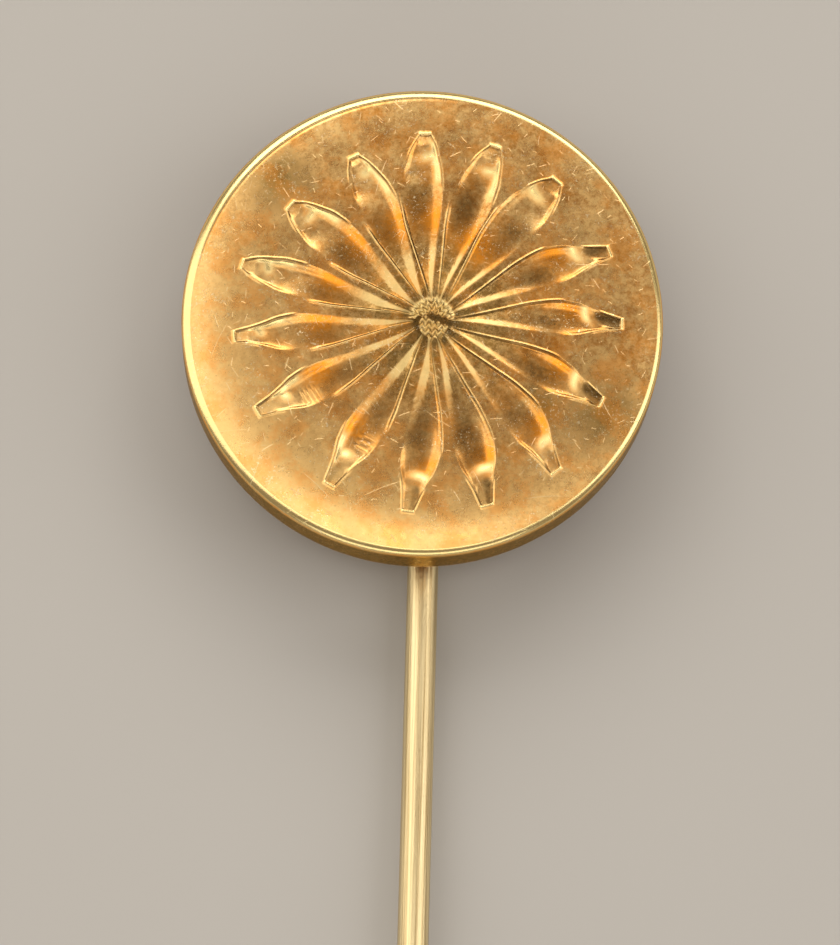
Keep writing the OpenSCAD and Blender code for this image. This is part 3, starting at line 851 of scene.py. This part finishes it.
def turned_line(radius, at, width=0.09 * MM, depth=0.035 * MM):
    """A fine groove left by the lathe tool."""
    return [(radius, at - width), (radius - depth, at - width * 0.35), (radius - depth, at + width * 0.35),
            (radius, at + width)]


barrel_profile = [(mouth_r, lip_t), (mouth_r, inner_corner), (mouth_r + inner_corner, 0)]
barrel_profile += rounded(barrel_r, 0, 1)
for at in turned_line_places:
    barrel_profile += turned_line(barrel_r, at)
barrel_profile += rounded(barrel_r, barrel_length, -1)
barrel_profile += [(tail_r + inner_corner, barrel_length), (tail_r, barrel_length - inner_corner),
                   (tail_r, barrel_length - lip_t), (bore_r, barrel_length - lip_t), (bore_r, lip_t)]
barrel = turned("guard_tube", barrel_profile, mouth, back, sides=128)
fixed(barrel, "guard", pale_gold, "pale_gold", "guard_barrel")

# ---- Cone bush and washer ------------------------------------------------------------------------
# Both are turned from brass rod. The bush's cone wedges the balls, and the washer holds the spring in.
dress("cone_bush", turned_brass)
dress("retaining_washer", turned_brass)

# ---- Grip spring ---------------------------------------------------------------------------------
# A compression spring of hard steel wire, wound open, that pushes the cage towards the mouth.
# Pulling the knob closes it against the washer.
spring_steel = metal("spring_steel", (0.62, 0.63, 0.65), dark_colour=(0.4, 0.38, 0.36), roughness=0.25,
                     patch_mm=(0.6, 0.6, 0.6), patch_share=0.08,
                     grain_mm=(0.2, 0.05, 0.2), bump_mm=0.003, bump_strength=0.5)


def spring_tree():
    """Winds a wire of a given thickness into a coil along the stem."""
    tree = bpy.data.node_groups.new("wound_spring", "GeometryNodeTree")
    sizes = {}
    for name, kind in (("Turns", "NodeSocketFloat"), ("Coil Radius", "NodeSocketFloat"),
                       ("Rise", "NodeSocketFloat"), ("Wire Radius", "NodeSocketFloat"),
                       ("Start", "NodeSocketVector"), ("Finish", "NodeSocketMaterial")):
        sizes[name] = tree.interface.new_socket(name, in_out="INPUT", socket_type=kind).identifier
    tree.interface.new_socket("Geometry", in_out="OUTPUT", socket_type="NodeSocketGeometry")
    given = tree.nodes.new("NodeGroupInput").outputs
    coil = add_node(tree, "GeometryNodeCurveSpiral", {"Resolution": 40},
                    {"Rotations": given["Turns"], "Start Radius": given["Coil Radius"],
                     "End Radius": given["Coil Radius"], "Height": given["Rise"]})
    wire = add_node(tree, "GeometryNodeCurvePrimitiveCircle", {"Resolution": 14},
                    {"Radius": given["Wire Radius"]})
    wound = add_node(tree, "GeometryNodeCurveToMesh", {"Fill Caps": True},
                     {"Curve": coil.outputs["Curve"], "Profile Curve": wire.outputs["Curve"]})
    laid = add_node(tree, "GeometryNodeTransform", {"Rotation": (math.radians(90), 0, 0)},
                    {"Geometry": wound.outputs["Mesh"], "Translation": given["Start"]})
    smooth = add_node(tree, "GeometryNodeSetShadeSmooth", None, {"Geometry": laid.outputs["Geometry"]})
    real = add_node(tree, "GeometryNodeRealizeInstances", None, {"Geometry": smooth.outputs["Geometry"]})
    dressed = add_node(tree, "GeometryNodeSetMaterial", None,
                       {"Geometry": real.outputs["Geometry"], "Material": given["Finish"]})
    tree.links.new(dressed.outputs["Geometry"], tree.nodes.new("NodeGroupOutput").inputs["Geometry"])
    return tree, sizes


def grown(name, tree, sizes, values):
    """Runs a node tree once and keeps what it made as a plain mesh."""
    piece = bpy.data.objects.new(name, bpy.data.meshes.new(name))
    bpy.context.scene.collection.objects.link(piece)
    maker = piece.modifiers.new(name, "NODES")
    maker.node_group = tree
    for size, value in values.items():
        maker[sizes[size]] = value
    made = piece.evaluated_get(bpy.context.evaluated_depsgraph_get())
    piece_mesh = bpy.data.meshes.new_from_object(made)
    piece.modifiers.clear()
    piece.data = piece_mesh
    return piece


spring_low, spring_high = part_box("grip_spring")
spring_wire_r = 0.15 * MM
spring_space = spring_high.y - spring_low.y
spring = grown("wound_spring", *spring_tree(), {
    "Turns": 5.0, "Coil Radius": (spring_high.x - spring_low.x) / 2 - spring_wire_r,
    "Rise": spring_space - 2 * spring_wire_r, "Wire Radius": spring_wire_r,
    "Start": (0.0, spring_high.y - spring_wire_r, 0.0), "Finish": spring_steel})
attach(spring, "guard")
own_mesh(spring)
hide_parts("grip_spring")

# ---- Ball cage and balls -------------------------------------------------------------------------
# The cage is a brass tube with three drilled holes; the balls are hardened and polished steel.
dress("ball_cage", turned_brass)
polished_steel = metal("polished_steel", (0.72, 0.73, 0.75), dark_colour=(0.55, 0.55, 0.56), roughness=0.09,
                       patch_mm=(0.3, 0.3, 0.3), patch_share=0.05,
                       grain_mm=(0.1, 0.1, 0.1), bump_mm=0.001, bump_strength=0.3)
for number in (1, 2, 3):
    dress(f"locking_ball_{number}", polished_steel)

# ---- Release knob --------------------------------------------------------------------------------
# Turned from brass and gold-plated, with a domed end that covers the point and three grip grooves.
# It is pressed on the cage's tail, and is pulled to let the guard off.
knob_low, knob_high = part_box("release_knob")
knob_r = (knob_high.x - knob_low.x) / 2
knob_length = knob_high.y - knob_low.y
knob_start = Vector((0, knob_high.y, 0))
dome = 1.3 * MM
grip_depth = 0.12 * MM
grip_pitch = 0.56 * MM
first_ridge = 0.3 * MM
bevel = 0.03 * MM
mouth_bevel = 0.06 * MM
socket_r = 1.01 * MM
socket_depth = 1.5 * MM
point_hole_r = 0.62 * MM
point_hole_end = 3.35 * MM
# one ridge between the grip grooves: how far each of its points lies past its start, and how far in
ridge = [(0, grip_depth), (0.1 * MM, bevel), (0.16 * MM, 0), (0.3 * MM, 0), (0.36 * MM, bevel),
         (0.44 * MM, grip_depth)]
dome_start = 2.12 * MM
knob_profile = [(point_hole_r * 0.5, point_hole_end), (point_hole_r, point_hole_end),
                (point_hole_r, socket_depth), (socket_r, socket_depth), (socket_r, 0),
                (knob_r - grip_depth - mouth_bevel, 0)]
for number in range(3):
    start = first_ridge + grip_pitch * number
    knob_profile += [(knob_r - inset, start + along_ridge) for along_ridge, inset in ridge]
knob_profile += [(knob_r, dome_start)]
knob_profile += [(knob_r * math.cos(a), knob_length - dome * (1 - math.sin(a)))
                 for a in np.radians(range(0, 90, 6))]
knob = turned("pull_knob", knob_profile, knob_start, back, sides=128, loop=False,
              ends=(point_hole_end, knob_length))
fixed(knob, "release", pale_gold, "pale_gold", "release_knob")

# ---- Table and light -----------------------------------------------------------------------------
# The pin lies on its guard and on the bend behind the head, so the pale table under it slopes a little.
rest_head = Vector((0, shank_top, stem_low.z))
rest_guard = Vector((0, barrel_high.y - corner_r, barrel_low.z))
slope = math.atan2(rest_head.z - rest_guard.z, rest_head.y - rest_guard.y)
table_r = 1.5
table_gap = Vector((0, 0, 0.01 * MM))
corners = [(x * table_r, y * table_r, 0) for x, y in ((-1, -1), (1, -1), (1, 1), (-1, 1))]
table_mesh = bpy.data.meshes.new("table")
table_mesh.from_pydata(corners, [], [range(4)])
table = bpy.data.objects.new("table", table_mesh)
table.matrix_world = Matrix.Translation(rest_head - table_gap) @ Matrix.Rotation(slope, 4, "X")
bpy.context.scene.collection.objects.link(table)
paper = bpy.data.materials.new("pale_paper")
paper.use_nodes = True
paper_shader = paper.node_tree.nodes["Principled BSDF"]
paper_shader.inputs["Base Color"].default_value = (0.5, 0.49, 0.475, 1)
paper_shader.inputs["Roughness"].default_value = 0.8
table_mesh.materials.append(paper)

light_distance = 0.5


def soft_box(name, azimuth, elevation, width, height, brightness, colour):
    """A soft light aimed at the head; brightness is what its face looks like from the pin."""
    a, e = math.radians(azimuth), math.radians(elevation)
    away = Vector((math.sin(a) * math.cos(e), -math.cos(a) * math.cos(e), math.sin(e)))
    light = bpy.data.lights.new(name, "AREA")
    light.shape = "RECTANGLE"
    light.size, light.size_y = width, height
    light.energy = brightness * math.pi * width * height
    light.color = colour
    lamp = bpy.data.objects.new(name, light)
    turned_to_pin = away.to_track_quat("Z", "Y").to_matrix().to_4x4()
    lamp.matrix_world = Matrix.Translation(away * light_distance) @ turned_to_pin
    bpy.context.scene.collection.objects.link(lamp)


soft_box("left_soft_box", -100, 40, 0.42, 0.7, 1.25, (1.0, 0.94, 0.84))
soft_box("overhead_soft_box", -6, 80.5, 0.26, 0.13, 1.9, (1.0, 0.95, 0.84))
soft_box("far_soft_box", 180, 42, 0.6, 0.26, 2.7, (1.0, 0.95, 0.88))
soft_box("near_soft_box", 0, 22, 0.6, 0.22, 1.2, (1.0, 0.96, 0.9))
soft_box("right_soft_box", 88, 42, 0.3, 0.5, 1.6, (1.0, 0.96, 0.9))

sky = bpy.data.worlds.new("studio")
sky.use_nodes = True
sky_light = sky.node_tree.nodes["Background"]
sky_light.inputs["Color"].default_value = (0.25, 0.21, 0.17, 1)
sky_light.inputs["Strength"].default_value = 1.0
bpy.context.scene.world = sky
bpy.context.scene.view_settings.view_transform = "Standard"
